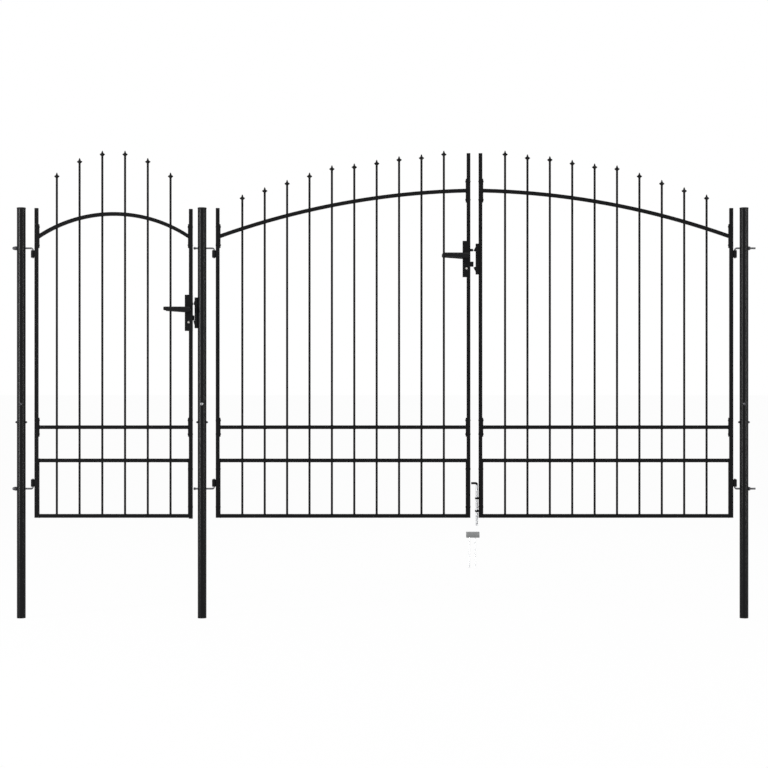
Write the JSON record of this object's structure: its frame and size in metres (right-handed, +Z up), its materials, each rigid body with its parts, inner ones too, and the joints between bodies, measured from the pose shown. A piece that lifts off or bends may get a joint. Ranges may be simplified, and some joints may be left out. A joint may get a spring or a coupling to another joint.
{
  "type": "double garden gate with side gate",
  "caption": "Tubular steel garden gate set on round posts: arched double gate and side gate with spear-topped pickets, lever locks and a drop bolt.",
  "frame": {"origin": "centre of the foot of the middle post", "axes": "+X along the gate line from the side gate to the double gate, +Y away from the viewer, the way the leaves open, +Z up"},
  "size_m": [4.0685, 0.12, 2.559],
  "materials": {
    "black_powder_coat": "semi-gloss powder coat",
    "lever_coat": "satin coat",
    "cap_plastic": "moulded matt",
    "zinc_plated_steel": "zinc plated",
    "galvanised_sheet": "hot-dip galvanised sheet",
    "dark_steel": "black zinc plating",
    "nickel": "nickel plated"
  },
  "bodies": {
    "posts": {"left_post": "black_powder_coat", "middle_post": "black_powder_coat", "right_post": "black_powder_coat", "post_caps": "cap_plastic", "hinge_bolts": "zinc_plated_steel", "hinge_nuts": "dark_steel", "small_keep": "black_powder_coat", "ground_socket": "galvanised_sheet"},
    "small_leaf": {"small_hinge_stile": "black_powder_coat", "small_latch_stile": "black_powder_coat", "small_hinge_sleeves": "black_powder_coat", "small_arch": "black_powder_coat", "small_upper_rail": "black_powder_coat", "small_lower_rails": "black_powder_coat", "small_side_bars": "black_powder_coat", "small_pickets": "black_powder_coat", "small_lock_case": "black_powder_coat", "small_lock_cylinder": "nickel"},
    "left_leaf": {"left_hinge_stile": "black_powder_coat", "left_meeting_stile": "black_powder_coat", "left_hinge_sleeves": "black_powder_coat", "left_arch": "black_powder_coat", "left_upper_rail": "black_powder_coat", "left_lower_rails": "black_powder_coat", "left_side_bars": "black_powder_coat", "left_pickets": "black_powder_coat", "double_lock_case": "black_powder_coat", "double_lock_cylinder": "nickel"},
    "right_leaf": {"right_hinge_stile": "black_powder_coat", "right_meeting_stile": "black_powder_coat", "right_hinge_sleeves": "black_powder_coat", "right_arch": "black_powder_coat", "right_upper_rail": "black_powder_coat", "right_lower_rails": "black_powder_coat", "right_side_bars": "black_powder_coat", "right_pickets": "black_powder_coat", "double_keep": "black_powder_coat", "drop_bolt_guides": "black_powder_coat"},
    "small_lever": {"small_lever": "lever_coat"},
    "small_latch": {"small_latch": "dark_steel"},
    "small_dead_bolt": {"small_dead_bolt": "dark_steel"},
    "double_lever": {"double_lever": "lever_coat"},
    "double_latch": {"double_latch": "dark_steel"},
    "double_dead_bolt": {"double_dead_bolt": "dark_steel"},
    "drop_bolt": {"drop_bolt": "zinc_plated_steel"}
  },
  "joints": [
    {"name": "small_leaf_swing", "type": "hinge", "parent": "posts", "child": "small_leaf", "pos_m": [-0.927, 0, 1.37], "axis": [0, 0, 1], "range_deg": [0, 110]},
    {"name": "left_leaf_swing", "type": "hinge", "parent": "posts", "child": "left_leaf", "pos_m": [0.065, 0, 1.37], "axis": [0, 0, 1], "range_deg": [0, 110]},
    {"name": "right_leaf_swing", "type": "hinge", "parent": "posts", "child": "right_leaf", "pos_m": [2.9175, 0, 1.37], "axis": [0, 0, -1], "range_deg": [0, 110]},
    {"name": "small_lever_turn", "type": "hinge", "parent": "small_leaf", "child": "small_lever", "pos_m": [-0.0725, 0, 1.688], "axis": [0, -1, 0], "range_deg": [0, 40], "stiffness_Nm_per_rad": 1.2, "springref_deg": -34.38},
    {"name": "double_lever_turn", "type": "hinge", "parent": "left_leaf", "child": "double_lever", "pos_m": [1.4475, 0, 1.9825], "axis": [0, -1, 0], "range_deg": [0, 40], "stiffness_Nm_per_rad": 1.2, "springref_deg": -34.38},
    {"name": "small_latch_slide", "type": "slide", "parent": "small_leaf", "child": "small_latch", "axis": [-1, 0, 0], "range_m": [0, 0.0125]},
    {"name": "double_latch_slide", "type": "slide", "parent": "left_leaf", "child": "double_latch", "axis": [-1, 0, 0], "range_m": [0, 0.0165]},
    {"name": "small_dead_bolt_slide", "type": "slide", "parent": "small_leaf", "child": "small_dead_bolt", "axis": [-1, 0, 0], "range_m": [0, 0.0095]},
    {"name": "double_dead_bolt_slide", "type": "slide", "parent": "left_leaf", "child": "double_dead_bolt", "axis": [-1, 0, 0], "range_m": [0, 0.018]},
    {"name": "drop_bolt_slide", "type": "slide", "parent": "right_leaf", "child": "drop_bolt", "axis": [0, 0, -1], "range_m": [0, 0.055]}
  ],
  "couplings": [
    {"joint": "small_latch_slide", "follows": "small_lever_turn", "m_per_rad": 0.017189},
    {"joint": "double_latch_slide", "follows": "double_lever_turn", "m_per_rad": 0.022918}
  ]
}
